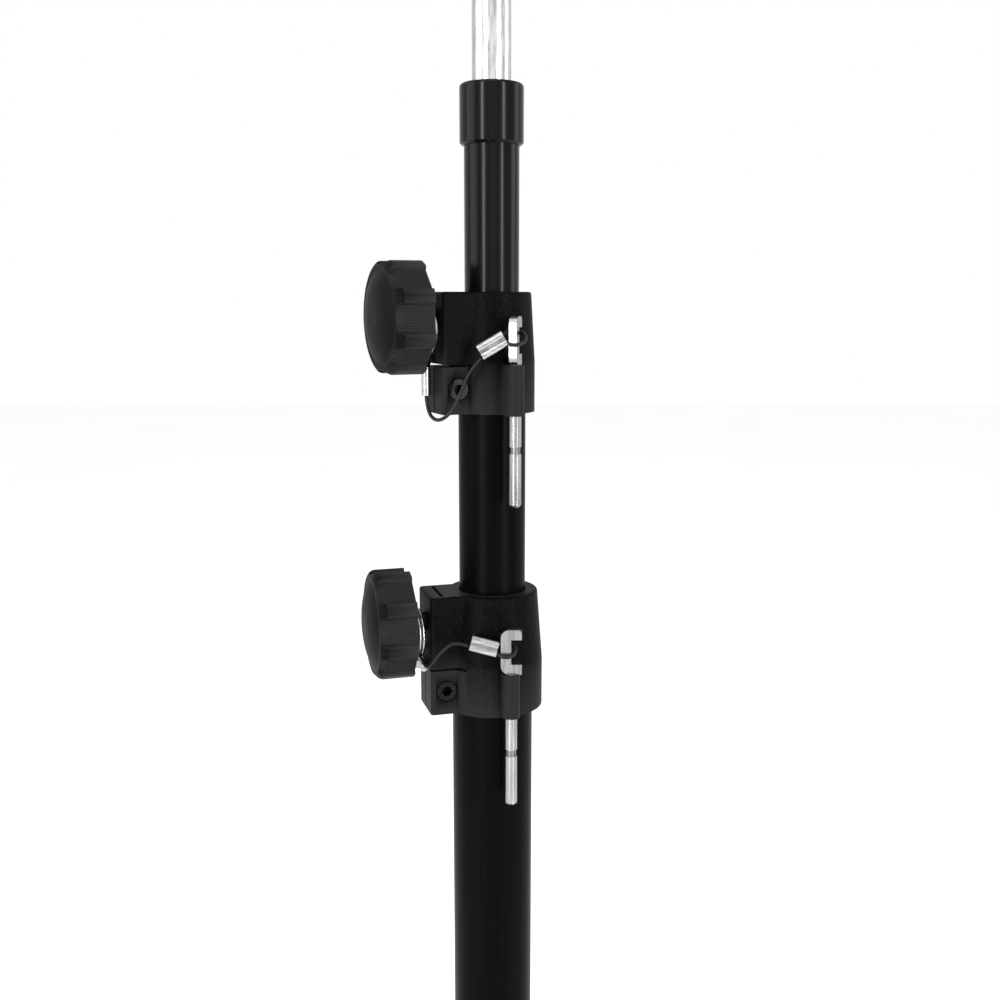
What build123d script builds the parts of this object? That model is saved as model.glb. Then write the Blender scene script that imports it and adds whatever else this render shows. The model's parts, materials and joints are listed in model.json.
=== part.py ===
"""A short C stand: three telescoping tubes, two clamp collars with knobs and tethered pins, turtle base."""
import os
from math import cos, pi, radians, sin, tan

from build123d import *

os.makedirs("parts", exist_ok=True)

# Tubes: outer radius, inner radius, bottom and top heights. The origin is on the floor, on the column axis.
BOTTOM_R, BOTTOM_BORE = 17.5, 16.0
MIDDLE_R, MIDDLE_BORE = 14.2, 12.7
TOP_R, TOP_BORE = 11.35, 9.85
LOWER_Z = 420.0          # underside of the lower collar
UPPER_Z = 548.5          # underside of the upper collar
CAP_Z = 656.5            # underside of the top collar
TUBE_FOOT = 92.0         # where the bottom tube stands in the base
MIDDLE_FOOT = 185.0
TOP_FOOT = 235.0

# Clamp collars: a clamp band below a slot, a knob block above it.
BAND = 20.5
COLLAR = 51.5            # height of the taller collar
SLOT = 1.2
SOCKET = 25.0            # depth that the collar sits down over its own tube
PINCH_Z = 10.2
RUN = 0.35               # radial clearance of a sliding tube in its collar
FIT = 0.02               # radial clearance of pieces fixed in one another

# Knob and its screw
KNOB_R = 23.4
KNOB_SIDE = 14.2
KNOB_DOME = 5.0
KNOB_GAP = 7.2           # boss end to the knob's back face
HUB_R, HUB_L = 8.5, 2.0
SCREW_R = 4.0
SHOE_L = 4.0

# Pin, ring, wire and ferrules
PIN_R = 2.5
PIN_L = 58.0
HEAD_W, HEAD_H, HEAD_T, HEAD_BAR = 8.8, 19.2, 3.2, 4.3
RING_R, RING_WIRE = 9.8, 0.75
RING_OUT = 3.5           # boss end to the ring's middle plane
WIRE_R = 0.75
FERRULE_L, BARREL_R = 11.5, 1.75

# Base
HUB_Z = (10.0, 34.0, 58.0)
HUB_H = 23.4
HUB_OUT = 27.0
SPINDLE_R = 17.0
LEG_R, LEG_BORE = 11.0, 9.4
LEG_REACH = 285.0
LEG_ANGLES = (-90.0, 30.0, 150.0)
FOOT_R = 14.0
CUP_Z = 82.0             # top of the spindle, underside of the tube's cup
CUP_R, CUP_TOP = 24.0, 132.0

# Top end
CAP_R, CAP_TOP = 13.1, 680.5
STUD_R, STUD_TOP = 7.94, 741.5
NECK_R = 8.6             # stud's shoulder inside the cap


def save(part, name):
    part.label = name
    export_step(part, f"parts/{name}.step")


def collar_frame(height, turn):
    """Local frame of a collar: X out along the boss, Y to the pinch screw's head, Z up."""
    return Plane(origin=(0, 0, height), x_dir=(-cos(radians(turn)), -sin(radians(turn)), 0), z_dir=(0, 0, 1))


def outward(frame, x, z, y=0.0):
    """Plane facing out along the boss; its X is the frame's Y and its Y is up."""
    return Plane(origin=frame.from_local_coords((x, y, z)), x_dir=frame.y_dir, z_dir=frame.x_dir)


def sideways(frame, x, y, z):
    """Plane facing the frame's -Y; its X is the frame's X and its Y is up."""
    return Plane(origin=frame.from_local_coords((x, y, z)), x_dir=frame.x_dir, z_dir=-frame.y_dir)


def tube(outer, bore, low, high):
    with BuildPart() as pipe:
        with BuildSketch(Plane.XY.offset(low)):
            Circle(outer)
            Circle(bore, mode=Mode.SUBTRACT)
        extrude(amount=high - low)
        chamfer(pipe.faces().sort_by(Axis.Z)[-1].edges(), 0.4)
    return pipe.part


def bush(outer, bore, low, high):
    with BuildPart() as sleeve:
        with BuildSketch(Plane.XY.offset(low)):
            Circle(outer)
            Circle(bore, mode=Mode.SUBTRACT)
        extrude(amount=high - low)
    return sleeve.part


def collar_casting(frame, own_r, inner_r, foot_r, rim_r, tall, reach, width, screw_z, pocket, lug_z, pin_at):
    """Clamp collar with its boss, pin lug, slots, screw holes and nut pockets."""
    band_width = width - 2.0
    lug_angle = pin_at[1]
    with BuildPart() as casting:
        with BuildSketch(frame):
            Circle(foot_r)
        extrude(amount=BAND)
        with BuildSketch(frame.offset(BAND)):
            Circle(foot_r)
        with BuildSketch(frame.offset(tall)):
            Circle(rim_r)
        loft()
        for low, high, across in ((0, BAND, band_width), (BAND, tall, width)):
            with BuildSketch(frame.offset(low)):
                with Locations((0, 0)):
                    RectangleRounded(2 * reach, across, 1.4)
                with Locations((-reach, 0)):
                    Rectangle(2 * reach, 2 * width, mode=Mode.SUBTRACT)
            extrude(amount=high - low)
        fillet(casting.faces().sort_by(Axis.Z)[-1].outer_wire().edges(), 1.2)
        with BuildSketch(frame.offset(lug_z)):
            with Locations(Rotation(0, 0, lug_angle)):
                with Locations((pin_at[0] / 2, 0)):
                    Rectangle(pin_at[0], 7.3)
                with Locations((pin_at[0], 0)):
                    Circle(3.65)
        extrude(amount=BAND - lug_z)
        with BuildSketch(frame):
            Circle(own_r + FIT)
        extrude(amount=SOCKET, mode=Mode.SUBTRACT)
        with BuildSketch(frame.offset(SOCKET)):
            Circle(inner_r + RUN)
        extrude(amount=COLLAR, mode=Mode.SUBTRACT)
        with BuildSketch(frame.offset(BAND - SLOT)):
            with Locations((reach, 0)):
                Rectangle(2 * (reach - 15.5), 2 * width)
        extrude(amount=SLOT, mode=Mode.SUBTRACT)
        with BuildSketch(frame):
            with Locations((reach / 2 + 5, 0)):
                Rectangle(reach, 1.0)
        extrude(amount=BAND, mode=Mode.SUBTRACT)
        with BuildSketch(frame):
            with Locations(Rotation(0, 0, lug_angle)):
                with Locations((pin_at[0], 0)):
                    Circle(PIN_R + 0.1)
        extrude(amount=BAND, mode=Mode.SUBTRACT)
        with BuildSketch(outward(frame, 0, screw_z)):
            Circle(SCREW_R + 0.15)
        extrude(amount=reach + 1, mode=Mode.SUBTRACT)
        with BuildSketch(frame.offset(screw_z - 7)):
            with Locations((reach - 5.5, 0)):
                Rectangle(*pocket)
        extrude(amount=COLLAR, mode=Mode.SUBTRACT)
        with BuildSketch(sideways(frame, reach - 6.9, 0, PINCH_Z)):
            Circle(2.6)
        extrude(amount=width, both=True, mode=Mode.SUBTRACT)
        with BuildSketch(sideways(frame, reach - 6.9, band_width / 2 - 5.2, PINCH_Z)):
            Circle(4.6)
        extrude(amount=-width, mode=Mode.SUBTRACT)
        with BuildSketch(sideways(frame, reach - 6.9, 4.2 - band_width / 2, PINCH_Z)):
            RegularPolygon(4.65, 6)
        extrude(amount=width, mode=Mode.SUBTRACT)
    return casting.part


def pinch_screw(frame, reach, width):
    seat = (width - 2.0) / 2 - 5.2
    with BuildPart() as screw:
        with BuildSketch(sideways(frame, reach - 6.9, seat + 5.0, PINCH_Z)):
            Circle(4.2)
            RegularPolygon(2.3, 6, mode=Mode.SUBTRACT)
        extrude(amount=3.0)
        with BuildSketch(sideways(frame, reach - 6.9, seat + 2.0, PINCH_Z)):
            Circle(4.2)
        extrude(amount=2.0)
        with BuildSketch(sideways(frame, reach - 6.9, seat, PINCH_Z)):
            Circle(2.45)
        extrude(amount=width - 10.2)
    return screw.part


def pinch_nut(frame, reach, width):
    with BuildPart() as nut:
        with BuildSketch(sideways(frame, reach - 6.9, 4.15 - (width - 2.0) / 2, PINCH_Z)):
            RegularPolygon(4.6, 6)
            Circle(2.5, mode=Mode.SUBTRACT)
        extrude(amount=3.9)
    return nut.part


def knob_nut(frame, reach, screw_z, pocket):
    """Square plate nut dropped in the pocket from the collar's top."""
    with BuildPart() as nut:
        with BuildSketch(outward(frame, reach - 5.4 - pocket[0] / 2, screw_z)):
            Rectangle(pocket[1] - 0.4, 13.6)
            Circle(SCREW_R + 0.05, mode=Mode.SUBTRACT)
        extrude(amount=pocket[0] - 0.2)
    return nut.part


def brake_shoe(frame, inner_r, screw_z):
    with BuildPart() as shoe:
        with BuildSketch(outward(frame, inner_r - 2, screw_z)):
            Circle(SCREW_R)
        extrude(amount=SHOE_L + 2.1)
        with BuildSketch(frame):
            Circle(inner_r + 0.1)
        extrude(amount=COLLAR, mode=Mode.SUBTRACT)
    return shoe.part


def knob(frame, reach, screw_z, turn):
    """Domed eight-lobed knob, made upright on its back face and then set on the boss's axis."""
    with BuildPart() as grip:
        with BuildSketch(Plane.XZ):
            with BuildLine():
                shoulder = (KNOB_R, KNOB_SIDE - 1.5)
                brow = (KNOB_R - 4.5, KNOB_SIDE + 1.8)
                crown = (3, KNOB_SIDE + KNOB_DOME)
                Polyline((0, 0), (KNOB_R, 0), shoulder)
                TangentArc(shoulder, brow, tangent=(0, 1))
                ThreePointArc(brow, (KNOB_R / 2, KNOB_SIDE + KNOB_DOME * 0.83), crown)
                Polyline(crown, (0, KNOB_SIDE + KNOB_DOME), (0, 0))
            make_face()
        revolve(axis=Axis.Z)
        with BuildSketch(Plane.XY):
            with PolarLocations(KNOB_R, 8):
                Polygon((-2.4, -5.2), (2.4, -8.2), (2.4, 8.2), (-2.4, 5.2))
        extrude(amount=KNOB_SIDE + KNOB_DOME, mode=Mode.SUBTRACT)
        with BuildSketch(Plane.XY):
            Circle(KNOB_R - 4.2)
            Circle(HUB_R, mode=Mode.SUBTRACT)
        extrude(amount=5.0, mode=Mode.SUBTRACT)
        with BuildSketch(Plane.XY.offset(-HUB_L)):
            Circle(HUB_R - 1.5)
        extrude(amount=HUB_L + 1)
        with BuildSketch(Plane.XY.offset(-HUB_L)):
            Circle(SCREW_R - 0.1 + FIT)
        extrude(amount=HUB_L + 12.0 + FIT, mode=Mode.SUBTRACT)
    return grip.part.moved(outward(frame, reach + KNOB_GAP, screw_z).location * Rotation(0, 0, turn))


def knob_screw(frame, inner_r, reach, screw_z):
    start = inner_r + SHOE_L + 0.15
    with BuildPart() as stud:
        with BuildSketch(outward(frame, start, screw_z)):
            Circle(SCREW_R - 0.1)
        extrude(amount=reach + KNOB_GAP + 12.0 - start)
        chamfer(stud.edges().filter_by(GeomType.CIRCLE), 0.4)
    return stud.part


def pin(frame, pin_at, head_turn):
    """Round pin with a neck groove and a C-shaped head that stands on the lug."""
    turned = Plane(frame.location * Rotation(0, 0, pin_at[1]) * Pos(pin_at[0], 0, BAND + 0.1))
    upright = Plane(origin=turned.origin, x_dir=(cos(radians(head_turn)), sin(radians(head_turn)), 0),
                    z_dir=(sin(radians(head_turn)), -cos(radians(head_turn)), 0))
    with BuildPart() as rod:
        with BuildSketch(upright):
            with BuildLine():
                half, bar = HEAD_W / 2, HEAD_BAR
                Line((half, 0), (half, bar))
                Line((half, bar), (bar - half, bar))
                Line((bar - half, bar), (bar - half, HEAD_H - bar))
                Line((bar - half, HEAD_H - bar), (half, HEAD_H - bar))
                Line((half, HEAD_H - bar), (half, HEAD_H - 1.2))
                ThreePointArc((half, HEAD_H - 1.2), (half - 1.0, HEAD_H - 0.2), (half - 2.4, HEAD_H))
                Line((half - 2.4, HEAD_H), (3.6 - half, HEAD_H))
                ThreePointArc((3.6 - half, HEAD_H), (1.05 - half, HEAD_H - 1.05), (-half, HEAD_H - 3.6))
                Line((-half, HEAD_H - 3.6), (-half, 3.6))
                ThreePointArc((-half, 3.6), (1.05 - half, 1.05), (3.6 - half, 0))
                Line((3.6 - half, 0), (half, 0))
            make_face()
        extrude(amount=HEAD_T / 2, both=True)
        with BuildSketch(turned):
            Circle(PIN_R)
        extrude(amount=-PIN_L)
        chamfer(rod.faces().sort_by(Axis.Z)[0].edges(), 0.9)
        with BuildSketch(turned.offset(-PIN_L + 22.0)):
            Circle(PIN_R + 1)
            Circle(PIN_R - 0.4, mode=Mode.SUBTRACT)
        extrude(amount=2.8, mode=Mode.SUBTRACT)
    return rod.part


def ferrule(plane):
    """Two crimped barrels side by side along the plane's X, their length along its Y."""
    with BuildPart() as sleeve:
        with BuildSketch(Plane(origin=plane.origin - plane.y_dir * FERRULE_L / 2, x_dir=plane.x_dir,
                               z_dir=plane.y_dir)):
            with Locations((-BARREL_R, 0), (BARREL_R, 0)):
                Circle(BARREL_R)
            Rectangle(BARREL_R, 1.6)
        extrude(amount=FERRULE_L)
    return sleeve.part


def wire_loop(plane, major, sleeve_plane, depth):
    """Loop of wire about the plane's normal, cut off where it enters its ferrule."""
    with BuildPart() as loop:
        with BuildSketch(Plane(origin=plane.origin, x_dir=plane.x_dir, z_dir=plane.y_dir)):
            with Locations((major, 0)):
                Circle(WIRE_R)
        revolve(axis=Axis(plane.origin, plane.z_dir))
        with BuildSketch(sleeve_plane):
            Rectangle(6 * BARREL_R, FERRULE_L)
        extrude(amount=depth, both=True, mode=Mode.SUBTRACT)
    return loop.part


def split_ring(frame, reach, screw_z):
    """Two flat coils of wire hanging on the knob's screw."""
    x, z = reach + RING_OUT, screw_z - (RING_R - RING_WIRE) + SCREW_R
    with BuildPart() as ring:
        for lift in (-RING_WIRE, RING_WIRE):
            centre = frame.from_local_coords((x + lift, 0, z))
            with BuildSketch(Plane(origin=centre, x_dir=frame.y_dir, z_dir=(0, 0, 1))):
                with Locations((RING_R, 0)):
                    Circle(RING_WIRE + 0.01)
            revolve(axis=Axis(centre, frame.x_dir))
    return ring.part


def tether(name, frame, route):
    """Wire tube: straight runs joined by arcs as large as the runs allow."""
    points = [frame.from_local_coords(p) for p in route]
    radii = []
    for before, here, after in zip(points, points[1:], points[2:]):
        a, b = here - before, after - here
        radii.append(round(0.45 * min(a.length, b.length) / tan(radians(a.get_angle(b)) / 2), 2))
    print(name, "radii", radii)
    with BuildPart() as wire:
        with BuildLine():
            path = FilletPolyline(*points, radius=radii)
        with BuildSketch(Plane(origin=path @ 0, z_dir=path % 0)):
            Circle(WIRE_R)
        sweep(transition=Transition.RIGHT)
    print(name, "length", round(path.length, 1), "volume ratio",
          round(wire.part.volume / (path.length * pi * WIRE_R ** 2), 4))
    return wire.part


def top_cap():
    with BuildPart() as cap:
        with BuildSketch(Plane.XY.offset(CAP_Z)):
            Circle(CAP_R)
        extrude(amount=CAP_TOP - CAP_Z)
        chamfer(cap.edges().filter_by(GeomType.CIRCLE).sort_by(Axis.Z)[0], 1.0)
        fillet(cap.edges().filter_by(GeomType.CIRCLE).sort_by(Axis.Z)[-1], 1.5)
        with BuildSketch(Plane.XY.offset(CAP_Z)):
            Circle(TOP_R + FIT)
        extrude(amount=20.1, mode=Mode.SUBTRACT)
        with BuildSketch(Plane.XY.offset(CAP_Z)):
            Circle(NECK_R + FIT)
        extrude(amount=CAP_TOP - CAP_Z, mode=Mode.SUBTRACT)
    return cap.part


def top_stud():
    """Mounting stud with a neck groove, its plug pressed in the top tube."""
    with BuildPart() as stud:
        with BuildSketch(Plane.XY.offset(CAP_Z - 15)):
            Circle(TOP_BORE - FIT)
        extrude(amount=34.9)
        with BuildSketch(Plane.XY.offset(CAP_Z)):
            Circle(NECK_R)
        extrude(amount=CAP_TOP - CAP_Z)
        with BuildSketch(Plane.XY.offset(CAP_TOP)):
            Circle(STUD_R)
        extrude(amount=STUD_TOP - CAP_TOP)
        chamfer(stud.edges().filter_by(GeomType.CIRCLE).sort_by(Axis.Z)[-1], 1.0)
        with BuildSketch(Plane.XY.offset(STUD_TOP - 22)):
            Circle(STUD_R + 1)
            Circle(STUD_R - 1.6, mode=Mode.SUBTRACT)
        extrude(amount=9.0, mode=Mode.SUBTRACT)
    return stud.part


def spindle():
    with BuildPart() as post:
        with BuildSketch(Plane.XY):
            Circle(HUB_OUT)
        extrude(amount=9.4)
        chamfer(post.edges().sort_by(Axis.Z)[0], 1.0)
        with BuildSketch(Plane.XY.offset(9.4)):
            Circle(SPINDLE_R)
        extrude(amount=CUP_Z - 9.4)
        with BuildSketch(Plane.XY.offset(CUP_Z - 32)):
            Circle(4.0)
        extrude(amount=32, mode=Mode.SUBTRACT)
    return post.part


def base_cup():
    with BuildPart() as cup:
        with BuildSketch(Plane.XY.offset(CUP_Z)):
            Circle(CUP_R)
        extrude(amount=CUP_TOP - CUP_Z)
        fillet(cup.edges().sort_by(Axis.Z)[-1], 2.5)
        with BuildSketch(Plane.XY.offset(TUBE_FOOT)):
            Circle(BOTTOM_R + FIT)
        extrude(amount=CUP_TOP - TUBE_FOOT, mode=Mode.SUBTRACT)
        with BuildSketch(Plane.XY.offset(CUP_Z)):
            Circle(4.3)
        extrude(amount=TUBE_FOOT - CUP_Z, mode=Mode.SUBTRACT)
    return cup.part


def base_bolt():
    with BuildPart() as bolt:
        with BuildSketch(Plane.XY.offset(TUBE_FOOT)):
            Circle(6.5)
        extrude(amount=8)
        with BuildSketch(Plane.XY.offset(TUBE_FOOT + 8)):
            RegularPolygon(3.4, 6)
        extrude(amount=-4, mode=Mode.SUBTRACT)
        with BuildSketch(Plane.XY.offset(TUBE_FOOT)):
            Circle(4.0 - FIT)
        extrude(amount=-38)
    return bolt.part


def leg_plane(angle, z):
    """Plane facing out along a leg, at the middle height of its ring."""
    out = (cos(radians(angle)), sin(radians(angle)), 0)
    return Plane(origin=(0, 0, z + HUB_H / 2), x_dir=(-out[1], out[0], 0), z_dir=out)


def leg_ring(angle, z):
    with BuildPart() as ring:
        with BuildSketch(Plane.XY.offset(z)):
            Circle(HUB_OUT)
        extrude(amount=HUB_H)
        chamfer(ring.edges().filter_by(GeomType.CIRCLE), 1.0)
        with BuildSketch(leg_plane(angle, z)):
            Circle(LEG_BORE - FIT)
        extrude(amount=HUB_OUT + 26)
        with BuildSketch(Plane.XY.offset(z)):
            Circle(SPINDLE_R + 0.08)
        extrude(amount=HUB_H, mode=Mode.SUBTRACT)
    return ring.part


def leg_tube(angle, z):
    """Bent tube from its ring out and down to the floor."""
    plane = leg_plane(angle, z)
    drop = z + HUB_H / 2 - FOOT_R
    with BuildPart() as leg:
        with BuildLine():
            stations = ((HUB_OUT + 0.4, 0), (95, 0), (235, -drop), (LEG_REACH, -drop))
            path = FilletPolyline(*[plane.from_local_coords((0, h, r)) for r, h in stations], radius=45)
        with BuildSketch(Plane(origin=path @ 0, z_dir=path % 0)):
            Circle(LEG_R)
            Circle(LEG_BORE, mode=Mode.SUBTRACT)
        sweep()
    return leg.part


def leg_foot(angle, z):
    """Rubber foot over the end of a leg, lying on the floor."""
    low = leg_plane(angle, FOOT_R - HUB_H / 2)
    with BuildPart() as foot:
        with BuildSketch(low.offset(LEG_REACH - 28)):
            Circle(FOOT_R)
        extrude(amount=33)
        fillet(foot.edges().filter_by(GeomType.CIRCLE), 2.0)
        with BuildSketch(low.offset(LEG_REACH - 28)):
            Circle(LEG_R + FIT)
        extrude(amount=28.05, mode=Mode.SUBTRACT)
    return foot.part


# Tubes. Each inner tube has a bush at its foot that guides it in the tube outside it.
save(tube(BOTTOM_R, BOTTOM_BORE, TUBE_FOOT + 0.05, LOWER_Z + SOCKET), "bottom_tube")
save(tube(MIDDLE_R, MIDDLE_BORE, MIDDLE_FOOT, UPPER_Z + SOCKET), "middle_tube")
save(tube(TOP_R, TOP_BORE, TOP_FOOT, CAP_Z + 20), "top_tube")
save(bush(BOTTOM_BORE - 0.1, MIDDLE_R + FIT, MIDDLE_FOOT, MIDDLE_FOOT + 30), "middle_tube_bush")
save(bush(MIDDLE_BORE - 0.1, TOP_R + FIT, TOP_FOOT, TOP_FOOT + 30), "top_tube_bush")

# Base and top end
save(spindle(), "base_spindle")
save(base_cup(), "base_cup")
save(base_bolt(), "base_bolt")
for number, (angle, z) in enumerate(zip(LEG_ANGLES, HUB_Z), start=1):
    save(leg_ring(angle, z), f"leg_{number}_ring")
    save(leg_tube(angle, z), f"leg_{number}_tube")
    save(leg_foot(angle, z), f"leg_{number}_foot")
save(top_cap(), "top_cap")
save(top_stud(), "top_stud")

# Collars: name, underside, turn of the boss, own tube, inner tube, foot and rim radii, height, reach, width,
# height of the knob's screw, nut pocket, foot of the pin's lug, pin's radius and angle, head turn, knob turn.
COLLARS = (
    ("lower", LOWER_Z, 16.0, BOTTOM_R, MIDDLE_R, 21.8, 19.5, COLLAR, 30.0, 24.0, 39.0, (1.6, 19.0), 1.5,
     (25.6, 92.5), 0.0, 6.0),
    ("upper", UPPER_Z, 24.0, MIDDLE_R, TOP_R, 18.0, 16.4, 49.5, 26.0, 22.0, 39.2, (2.4, 14.2), 0.0,
     (24.0, 89.5), 75.0, 0.0),
)
# Pin ferrule (middle and tilt) and the middle and radius of its loop round the head's bar, over the collar's foot.
PIN_WIRING = {
    "lower": ((-3.2, -24.3, 32.5), -15.0, (5.9, -24.3, 30.8), 3.9),
    "upper": ((0.4, -23.2, 28.3), 30.0, (8.8, -23.6, 31.4), 4.8),
}
# Wire routes in each collar's own frame, from the ring's ferrule to the pin's ferrule.
ROUTES = {
    "lower": ((31.98, 6.6, 21.87), (32.0, 13.6, 21.4), (31.0, 18.0, 25.6), (26.6, 18.8, 31.2), (21.2, 19.6, 34.8),
              (15.7, 20.8, 32.4)),
    "upper": ((29.5, 0.0, 7.5), (29.6, 1.2, 0.8), (28.0, 8.0, -3.0), (24.0, 13.6, 1.0), (20.4, 15.8, 9.6),
              (17.6, 17.2, 18.2), (13.1, 19.7, 23.5)),
}
for (name, height, turn, own_r, inner_r, foot_r, rim_r, tall, reach, width, screw_z, pocket, lug_z, pin_at,
     head_turn, knob_turn) in COLLARS:
    frame = collar_frame(height, turn)
    casting = collar_casting(frame, own_r, inner_r, foot_r, rim_r, tall, reach, width, screw_z, pocket, lug_z,
                             pin_at)
    save(casting, f"{name}_collar")
    save(pinch_screw(frame, reach, width), f"{name}_pinch_screw")
    save(pinch_nut(frame, reach, width), f"{name}_pinch_nut")
    save(knob_nut(frame, reach, screw_z, pocket), f"{name}_knob_nut")
    save(brake_shoe(frame, inner_r, screw_z), f"{name}_brake_shoe")
    save(knob(frame, reach, screw_z, knob_turn), f"{name}_knob")
    save(knob_screw(frame, inner_r, reach, screw_z), f"{name}_knob_screw")
    save(pin(frame, pin_at, head_turn), f"{name}_pin")
    save(split_ring(frame, reach, screw_z), f"{name}_split_ring")
    middle, tilt, loop_at, loop_r = PIN_WIRING[name]
    lean = radians(tilt)
    sleeve = Plane(origin=(middle[0], middle[1], height + middle[2]), x_dir=(sin(lean), 0, -cos(lean)),
                   z_dir=(0, -1, 0))
    bar_loop = Plane(origin=(loop_at[0], loop_at[1], height + loop_at[2]), x_dir=(1, 0, 0),
                     z_dir=(0, -sin(radians(35)), cos(radians(35))))
    save(ferrule(sleeve), f"{name}_pin_ferrule")
    save(wire_loop(bar_loop, loop_r, sleeve, 4 * BARREL_R), f"{name}_pin_loop")
    hang = frame.from_local_coords((reach + RING_OUT, 0, 0))
    skew = radians(40)
    across = frame.y_dir * cos(skew) + frame.x_dir * sin(skew)
    if name == "lower":
        spread = frame.x_dir * cos(radians(30)) + Vector(0, 0, 1) * sin(radians(30))
        sleeve = Plane(origin=hang + frame.y_dir * 0.75 + Vector(0, 0, 21.0), x_dir=spread,
                       z_dir=spread.cross(frame.y_dir))
        middle = hang - frame.y_dir * 3.0 + Vector(0, 0, 23.9)
        loop_r, cut = 4.2, BARREL_R
    else:
        skew = radians(25)
        spread = frame.y_dir * cos(skew) + frame.x_dir * sin(skew)
        sleeve = Plane(origin=hang + Vector(0, 0, 13.35), x_dir=spread, z_dir=spread.cross(Vector(0, 0, 1)))
        middle = hang + Vector(0, 0, 22.8)
        loop_r, cut = 4.2, 4 * BARREL_R
    ring_loop = Plane(origin=middle, x_dir=across, z_dir=across.cross(Vector(0, 0, 1)))
    save(ferrule(sleeve), f"{name}_ring_ferrule")
    save(wire_loop(ring_loop, loop_r, sleeve, cut), f"{name}_ring_loop")
    save(tether(name, frame, ROUTES[name]), f"{name}_tether")
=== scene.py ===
"""Looks of the C stand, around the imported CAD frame. Metres."""
import json
from math import cos, pi, radians, sin

import bmesh
import bpy
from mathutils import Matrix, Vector


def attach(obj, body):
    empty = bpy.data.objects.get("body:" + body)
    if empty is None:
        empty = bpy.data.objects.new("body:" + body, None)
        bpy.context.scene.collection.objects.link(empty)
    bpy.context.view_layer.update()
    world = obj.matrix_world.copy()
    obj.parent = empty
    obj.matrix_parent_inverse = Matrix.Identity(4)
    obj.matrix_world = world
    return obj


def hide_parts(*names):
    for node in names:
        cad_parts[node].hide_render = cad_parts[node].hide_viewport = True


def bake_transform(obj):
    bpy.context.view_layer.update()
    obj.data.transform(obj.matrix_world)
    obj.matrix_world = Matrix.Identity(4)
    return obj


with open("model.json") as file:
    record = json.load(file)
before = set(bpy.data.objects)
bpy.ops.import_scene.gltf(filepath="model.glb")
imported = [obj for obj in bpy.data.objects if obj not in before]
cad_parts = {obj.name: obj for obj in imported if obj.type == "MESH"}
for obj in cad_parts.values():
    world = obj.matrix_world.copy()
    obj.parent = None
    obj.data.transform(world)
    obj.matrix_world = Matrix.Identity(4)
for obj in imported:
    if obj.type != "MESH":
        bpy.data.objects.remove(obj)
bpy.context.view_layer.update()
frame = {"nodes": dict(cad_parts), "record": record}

LOWER_Z = 0.4200
UPPER_Z = 0.5485
KNOB_GAP = 0.0072
RIB_FLOOR = 0.02100         # from the knob's axis to the flat floor of a recess
RIB_HEIGHT = 0.00050
RIB_PITCH = 0.00112
RIB_COUNT = 9
RIB_SINK = 0.0002           # depth of a rib's foot below the recess floor
RIB_CROWN = 0.72            # height and width, as a share of the rib's, where its top begins to round off
RECESSES = 8
RIB_LENGTH = 0.0135
WIRE = 0.0015

# Collars: underside, turn of the boss, its reach, height of the knob's screw, turn of the knob, the body the
# pin's wire leaves, the wire's length and its route.
COLLARS = {
    "lower": dict(
        z=LOWER_Z, turn=16.0, reach=0.030, screw=0.0390, knob_turn=6.0, body="base", length=0.0320,
        route=((31.98, 6.6, 21.87), (32.0, 13.6, 21.4), (31.0, 18.0, 25.6), (26.6, 18.8, 31.2),
               (21.2, 19.6, 34.8), (15.7, 20.8, 32.4)),
    ),
    "upper": dict(
        z=UPPER_Z, turn=24.0, reach=0.026, screw=0.0392, knob_turn=0.0, body="middle_section", length=0.0470,
        route=((29.5, 0.0, 7.5), (29.6, 1.2, 0.8), (28.0, 8.0, -3.0), (24.0, 13.6, 1.0), (20.4, 15.8, 9.6),
               (17.6, 17.2, 18.2), (13.1, 19.7, 23.5)),
    ),
}


# ---- materials -------------------------------------------------------------

def material(name, color, rough, metal=0.0, specular=0.5):
    """A new material, its node tree and its shader."""
    made = bpy.data.materials.new(name)
    made.use_nodes = True
    shader = made.node_tree.nodes["Principled BSDF"]
    shader.inputs["Base Color"].default_value = (*color, 1)
    shader.inputs["Roughness"].default_value = rough
    shader.inputs["Metallic"].default_value = metal
    shader.inputs["Specular IOR Level"].default_value = specular
    return made, made.node_tree, shader


def noise(tree, scale, detail=4.0, stretch=(1, 1, 1)):
    """Noise over the object's own coordinates; stretch squeezes it along an axis."""
    place = tree.nodes.new("ShaderNodeTexCoord")
    mapping = tree.nodes.new("ShaderNodeMapping")
    mapping.inputs["Scale"].default_value = stretch
    texture = tree.nodes.new("ShaderNodeTexNoise")
    texture.inputs["Scale"].default_value = scale
    texture.inputs["Detail"].default_value = detail
    tree.links.new(place.outputs["Object"], mapping.inputs["Vector"])
    tree.links.new(mapping.outputs["Vector"], texture.inputs["Vector"])
    return texture.outputs["Fac"]


def ramp(tree, source, low, high, stops=(0.35, 0.65)):
    node = tree.nodes.new("ShaderNodeValToRGB")
    node.color_ramp.elements[0].position = stops[0]
    node.color_ramp.elements[1].position = stops[1]
    node.color_ramp.elements[0].color = (*low, 1)
    node.color_ramp.elements[1].color = (*high, 1)
    tree.links.new(source, node.inputs["Fac"])
    return node.outputs["Color"]


def spread(tree, source, low, high):
    node = tree.nodes.new("ShaderNodeMapRange")
    node.inputs["To Min"].default_value = low
    node.inputs["To Max"].default_value = high
    tree.links.new(source, node.inputs["Value"])
    return node.outputs["Result"]


def bump(tree, shader, source, strength, distance):
    node = tree.nodes.new("ShaderNodeBump")
    node.inputs["Strength"].default_value = strength
    node.inputs["Distance"].default_value = distance
    tree.links.new(source, node.inputs["Height"])
    tree.links.new(node.outputs["Normal"], shader.inputs["Normal"])


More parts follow.
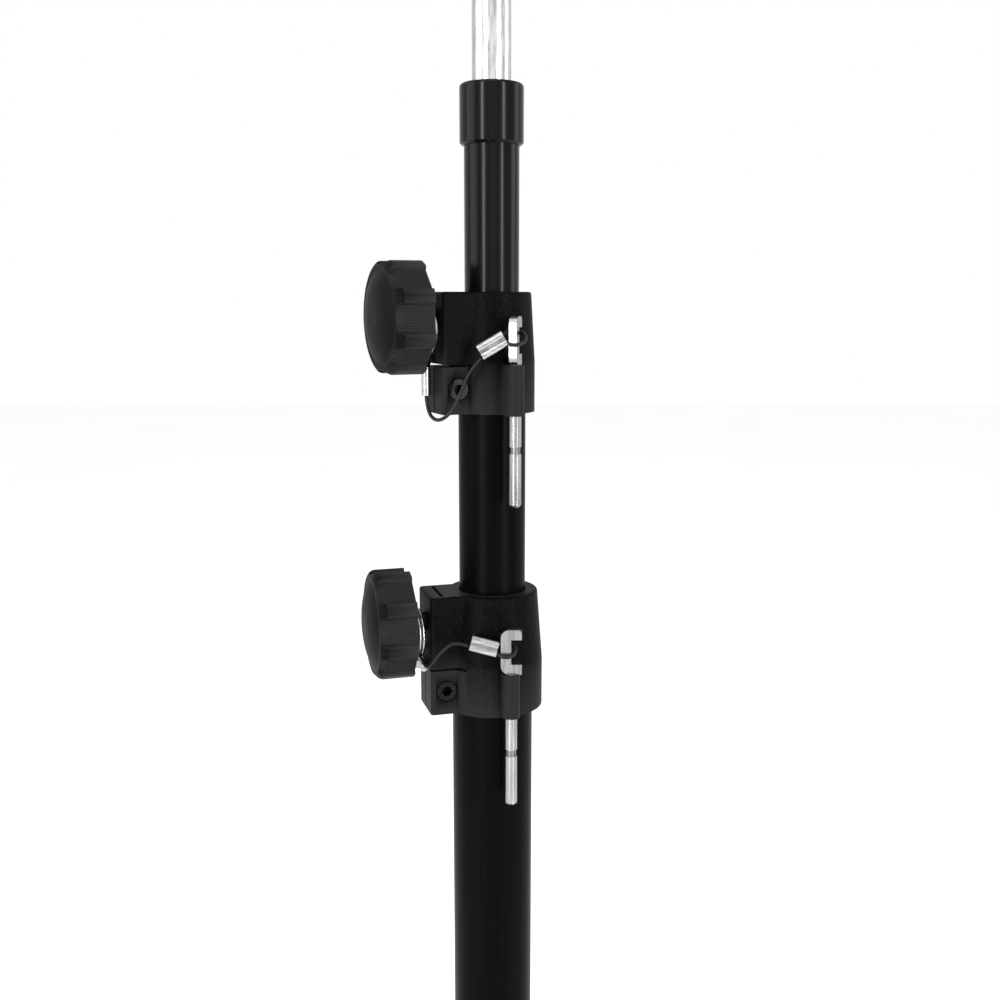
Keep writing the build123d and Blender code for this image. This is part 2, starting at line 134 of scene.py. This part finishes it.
def painted_edge_highlight(tree, shader, base, highlight_colour):
    """Painted highlight: lighter colour where the surface curves outwards."""
    geometry = tree.nodes.new("ShaderNodeNewGeometry")
    # painted highlight mask on the convex edges
    mask = ramp(tree, geometry.outputs["Pointiness"], (0, 0, 0), (1, 1, 1), (0.53, 0.60))
    mix = tree.nodes.new("ShaderNodeMix")
    mix.data_type = "RGBA"
    tree.links.new(mask, mix.inputs["Factor"])
    tree.links.new(base, mix.inputs["A"])
    mix.inputs["B"].default_value = (*highlight_colour, 1)
    tree.links.new(mix.outputs["Result"], shader.inputs["Base Color"])


def cast_paint():
    made, tree, shader = material("speckled_paint", (0.02, 0.02, 0.022), 0.42, specular=0.03)
    speckle = noise(tree, 1500, 2)
    base = ramp(tree, speckle, (0.0002, 0.0002, 0.0003), (0.0045, 0.0045, 0.0047), (0.42, 0.74))
    # painted highlight along the casting's rounded edges
    painted_edge_highlight(tree, shader, base, (0.011, 0.011, 0.0115))
    tree.links.new(spread(tree, noise(tree, 900, 3), 0.36, 0.58), shader.inputs["Roughness"])
    bump(tree, shader, speckle, 0.35, 0.00012)
    return made


def tube_paint(name, color, rough, specular):
    made, tree, shader = material(name, color, rough, specular=specular)
    drawn = noise(tree, 700, 3, (1, 1, 0.02))
    shade = tuple(c * 1.5 for c in color)
    tree.links.new(ramp(tree, drawn, color, shade), shader.inputs["Base Color"])
    tree.links.new(spread(tree, drawn, rough - 0.05, rough + 0.07), shader.inputs["Roughness"])
    bump(tree, shader, drawn, 0.08, 0.00004)
    return made


def knob_nylon():
    made, tree, shader = material("knob_nylon", (0.05, 0.052, 0.055), 0.46, specular=0.035)
    grain = noise(tree, 1900, 3)
    base = ramp(tree, grain, (0.0006, 0.0007, 0.0008), (0.0036, 0.0038, 0.0040))
    # painted highlight along the knob's rounded edges
    painted_edge_highlight(tree, shader, base, (0.015, 0.015, 0.0155))
    tree.links.new(spread(tree, noise(tree, 160, 4), 0.40, 0.54), shader.inputs["Roughness"])
    bump(tree, shader, grain, 0.22, 0.00006)
    return made


def bright_metal(name, color, rough, stretch=(1, 1, 1)):
    """Brushed metal, darker along its grain, with painted shade in its grooves."""
    made, tree, shader = material(name, color, rough, metal=1.0)
    brushed = noise(tree, 1100, 4, stretch)
    shade = tuple(c * 0.62 for c in color)
    grain = ramp(tree, brushed, shade, color, (0.3, 0.6))
    geometry = tree.nodes.new("ShaderNodeNewGeometry")
    # painted shade: concave places darkened to 15% of the metal's colour
    painted_groove_shade = ramp(tree, geometry.outputs["Pointiness"], (1, 1, 1), (0, 0, 0), (0.40, 0.49))
    mix = tree.nodes.new("ShaderNodeMix")
    mix.data_type = "RGBA"
    tree.links.new(painted_groove_shade, mix.inputs["Factor"])
    tree.links.new(grain, mix.inputs["A"])
    mix.inputs["B"].default_value = (*(c * 0.15 for c in color), 1)
    tree.links.new(mix.outputs["Result"], shader.inputs["Base Color"])
    tree.links.new(spread(tree, brushed, rough - 0.06, rough + 0.10), shader.inputs["Roughness"])
    bump(tree, shader, brushed, 0.10, 0.00004)
    return made


def plain_grain(name, low, high, rough, scale, depth):
    made, tree, shader = material(name, low, rough, specular=0.2)
    grain = noise(tree, scale, 4)
    tree.links.new(ramp(tree, grain, low, high), shader.inputs["Base Color"])
    tree.links.new(spread(tree, grain, rough - 0.06, rough + 0.06), shader.inputs["Roughness"])
    bump(tree, shader, grain, 0.3, depth)
    return made


SLOTS = {
    "speckled_black_casting": cast_paint(),
    "knob_nylon": knob_nylon(),
    "black_wire": plain_grain("wire_jacket", (0.002, 0.002, 0.002), (0.005, 0.005, 0.005), 0.42, 2500, 0.00003),
    "ferrule_aluminium": bright_metal("ferrule_aluminium", (0.40, 0.40, 0.395), 0.28, (0.1, 1, 1)),
    "pin_zinc": bright_metal("pin_zinc", (0.30, 0.30, 0.305), 0.27, (1, 1, 0.08)),
    "bush_nylon": plain_grain("bush_nylon", (0.08, 0.08, 0.08), (0.12, 0.12, 0.12), 0.55, 600, 0.00005),
    "foot_rubber": plain_grain("foot_rubber", (0.018, 0.018, 0.018), (0.034, 0.034, 0.034), 0.72, 800, 0.0001),
    "base_casting": cast_paint(),
    "top_tube_black": tube_paint("top_tube_black", (0.0012, 0.0012, 0.0014), 0.19, 0.10),
    "tube_black": tube_paint("tube_black", (0.0008, 0.0008, 0.0009), 0.34, 0.025),
    "stud_steel": bright_metal("stud_steel", (0.50, 0.50, 0.50), 0.24, (1, 1, 0.1)),
    "ring_steel": bright_metal("ring_steel", (0.38, 0.38, 0.385), 0.20),
    "fastener_steel": bright_metal("fastener_steel", (0.012, 0.012, 0.0125), 0.34),
}


def dress_nodes():
    for part in frame["record"]["subparts"]:
        node = frame["nodes"][part["node"]]
        node.data.materials.clear()
        node.data.materials.append(SLOTS[part["material_slot"]])


# ---- pieces ----------------------------------------------------------------

def collar_axes(collar):
    turn = radians(collar["turn"])
    out = Vector((-cos(turn), -sin(turn), 0))
    side = Vector((sin(turn), -cos(turn), 0))
    return out, side, Vector((0, 0, 1))


def in_collar(collar, point):
    """A point given in millimetres in a collar's own frame, in the row frame."""
    out, side, up = collar_axes(collar)
    x, y, z = (value / 1000 for value in point)
    return out * x + side * y + up * (z + collar["z"])


def mesh_piece(name, mesh, slot_name, body):
    piece = bpy.data.objects.new(name, mesh)
    bpy.context.scene.collection.objects.link(piece)
    piece.data.materials.append(SLOTS[slot_name])
    if body:
        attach(piece, body)
    return piece


def knob_ribs(name, collar):
    """Fine ribs along the flat floor of each of the knob's eight recesses."""
    out, side, up = collar_axes(collar)
    centre = out * (collar["reach"] + KNOB_GAP) + up * (collar["z"] + collar["screw"])
    half = RIB_PITCH * 0.36
    profile = ((-half, -RIB_SINK), (-half * RIB_CROWN, RIB_CROWN * RIB_HEIGHT), (0, RIB_HEIGHT),
               (half * RIB_CROWN, RIB_CROWN * RIB_HEIGHT), (half, -RIB_SINK))
    shape = bmesh.new()
    for recess in range(RECESSES):
        angle = recess * 2 * pi / RECESSES + radians(collar["knob_turn"])
        radial = side * cos(angle) + up * sin(angle)
        tangent = up * cos(angle) - side * sin(angle)
        for number in range(RIB_COUNT):
            shift = (number - (RIB_COUNT - 1) / 2) * RIB_PITCH
            rings = []
            for along, shrink in ((0.0004, 0.6), (0.0009, 1), (RIB_LENGTH - 0.0008, 1), (RIB_LENGTH, 0.5)):
                rings.append([shape.verts.new(centre + out * along + tangent * (shift + a)
                                              + radial * (RIB_FLOOR + (h * shrink if h > 0 else h)))
                              for a, h in profile])
            for first, second in zip(rings, rings[1:]):
                for k in range(len(profile)):
                    j = (k + 1) % len(profile)
                    shape.faces.new((first[k], first[j], second[j], second[k]))
            shape.faces.new(rings[0][::-1])
            shape.faces.new(rings[-1])
    bmesh.ops.recalc_face_normals(shape, faces=shape.faces)
    mesh = bpy.data.meshes.new(f"{name}_knob_ribs")
    shape.to_mesh(mesh)
    shape.free()
    mesh_piece(f"{name}_knob_ribs", mesh, "knob_nylon", f"{name}_knob_and_screw")


def spline_points(name, points):
    """Points along a NURBS spline through a route's control points."""
    curve = bpy.data.curves.new(f"{name}_route", "CURVE")
    curve.dimensions = "3D"
    spline = curve.splines.new("NURBS")
    spline.points.add(len(points) - 1)
    for slot, point in zip(spline.points, points):
        slot.co = (*point, 1)
    spline.order_u = 3
    spline.use_endpoint_u = True
    spline.resolution_u = 12
    carrier = bpy.data.objects.new(f"{name}_route", curve)
    line = bpy.data.meshes.new_from_object(carrier)
    path = [vertex.co.copy() for vertex in line.vertices]
    bpy.data.objects.remove(carrier)
    bpy.data.curves.remove(curve)
    bpy.data.meshes.remove(line)
    return path


def wire_mesh(name, path, radius, sides=16):
    """Round tube along a path, closed at both ends, its rings carried without twist."""
    shape = bmesh.new()
    rings = []
    turns = [2 * pi * s / sides for s in range(sides)]
    normal = Vector((0, 0, 1))
    for k, here in enumerate(path):
        ahead = path[min(k + 1, len(path) - 1)] - path[max(k - 1, 0)]
        ahead.normalize()
        normal = normal - ahead * normal.dot(ahead)
        if normal.length < 1e-4:
            normal = ahead.orthogonal()
        normal.normalize()
        other = ahead.cross(normal)
        rings.append([shape.verts.new(here + (normal * cos(turn) + other * sin(turn)) * radius)
                      for turn in turns])
    for first, second in zip(rings, rings[1:]):
        for s in range(sides):
            t = (s + 1) % sides
            shape.faces.new((first[s], first[t], second[t], second[s]))
    shape.faces.new(rings[0][::-1])
    shape.faces.new(rings[-1])
    bmesh.ops.recalc_face_normals(shape, faces=shape.faces)
    for face in shape.faces:
        face.smooth = len(face.verts) == 4
    mesh = bpy.data.meshes.new(name)
    shape.to_mesh(mesh)
    shape.free()
    return mesh


def tether_wire(name, collar):
    """The pin's black wire, between the split ring's ferrule and the pin's ferrule."""
    points = [in_collar(collar, point) for point in collar["route"]]
    path = spline_points(name, points)
    mesh = wire_mesh(f"{name}_tether_wire", path, WIRE / 2)
    wire = mesh_piece(f"{name}_tether_wire", mesh, "black_wire", None)
    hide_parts(f"{name}_tether")
    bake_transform(wire)


# ---- camera, lights and floor ----------------------------------------------

def camera():
    """Level with the upper collar's top edge and tilted down, so that it looks at the column's middle."""
    distance, eye, pitch = 0.490, 0.5965, 10.0
    sensor = 36.0
    data = bpy.data.cameras.new("camera")
    data.lens = 1160 / 1000 * sensor
    data.sensor_width = sensor
    data.clip_start = 0.01
    made = bpy.data.objects.new("camera", data)
    made.location = (0.0034, -distance, eye)
    made.rotation_euler = (radians(90 - pitch), 0, 0)
    bpy.context.scene.collection.objects.link(made)
    bpy.context.scene.camera = made


def area_light(name, azimuth, height, distance, size, power, aim=(0, 0, 0.50)):
    """Softbox at an azimuth about the column, 0 on the camera's side and positive to its right."""
    data = bpy.data.lights.new(name, "AREA")
    data.shape = "RECTANGLE"
    data.size, data.size_y = size
    data.energy = power
    made = bpy.data.objects.new(name, data)
    angle = radians(azimuth)
    made.location = (distance * sin(angle), -distance * cos(angle), height)
    made.rotation_euler = (Vector(aim) - made.location).to_track_quat("-Z", "Y").to_euler()
    bpy.context.scene.collection.objects.link(made)


def studio():
    area_light("left_strip", -33, 0.72, 1.3, (0.10, 1.3), 16)
    area_light("right_strip", 44, 0.72, 1.3, (0.10, 1.3), 14)
    area_light("left_key", -80, 0.95, 1.4, (0.9, 1.0), 9)
    area_light("right_side", 100, 0.80, 1.4, (0.5, 1.0), 5)
    area_light("top", -20, 1.9, 0.5, (1.2, 1.2), 8)
    area_light("front_fill", 5, 0.9, 2.2, (1.0, 0.6), 2)
    world = bpy.data.worlds.new("world")
    world.use_nodes = True
    backdrop = world.node_tree.nodes["Background"]
    backdrop.inputs["Color"].default_value = (1, 1, 1, 1)
    backdrop.inputs["Strength"].default_value = 1.0
    bpy.context.scene.world = world
    bpy.context.scene.view_settings.view_transform = "Standard"


def floor():
    size = 6.0
    corners = [(-size, -size, 0), (size, -size, 0), (size, size, 0), (-size, size, 0)]
    mesh = bpy.data.meshes.new("floor")
    mesh.from_pydata(corners, [], [(0, 1, 2, 3)])
    made = bpy.data.objects.new("floor", mesh)
    made.location.z = -0.0005
    paint, tree, shader = material("floor_paint", (0.97, 0.97, 0.97), 0.8, specular=0.0)
    tree.links.new(ramp(tree, noise(tree, 3, 4), (0.96, 0.96, 0.96), (0.975, 0.975, 0.975)),
                   shader.inputs["Base Color"])
    mesh.materials.append(paint)
    bpy.context.scene.collection.objects.link(made)


dress_nodes()
for collar_name, facts in COLLARS.items():
    knob_ribs(collar_name, facts)
    tether_wire(collar_name, facts)
camera()
studio()
floor()
